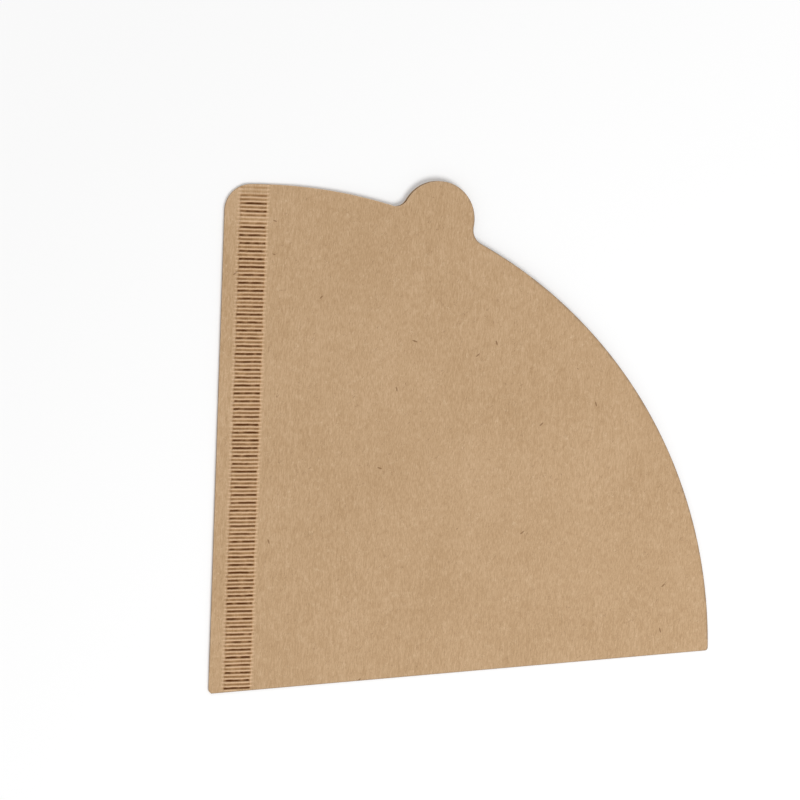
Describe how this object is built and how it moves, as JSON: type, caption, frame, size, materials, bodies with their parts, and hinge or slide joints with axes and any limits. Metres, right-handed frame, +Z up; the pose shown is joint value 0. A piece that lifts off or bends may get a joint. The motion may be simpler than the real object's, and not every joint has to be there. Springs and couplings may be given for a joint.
{
  "type": "paper coffee filter",
  "caption": "Cone filter of unbleached paper, folded flat in two layers, with a crimped seam, a fold, a round-cut mouth and a rounded tab.",
  "frame": {"origin": "on the surface that the filter lies on, under the middle of its outline", "axes": "+X along the fold, from the crimped seam towards the cut mouth; +Y along the seam, from the cone's tip towards the mouth; +Z up through the two layers"},
  "size_m": [0.1278, 0.1181, 0.0019],
  "materials": {
    "unbleached_paper": "matt, fibrous, natural brown"
  },
  "bodies": {
    "root": {"filter_paper": "unbleached_paper"}
  },
  "joints": []
}
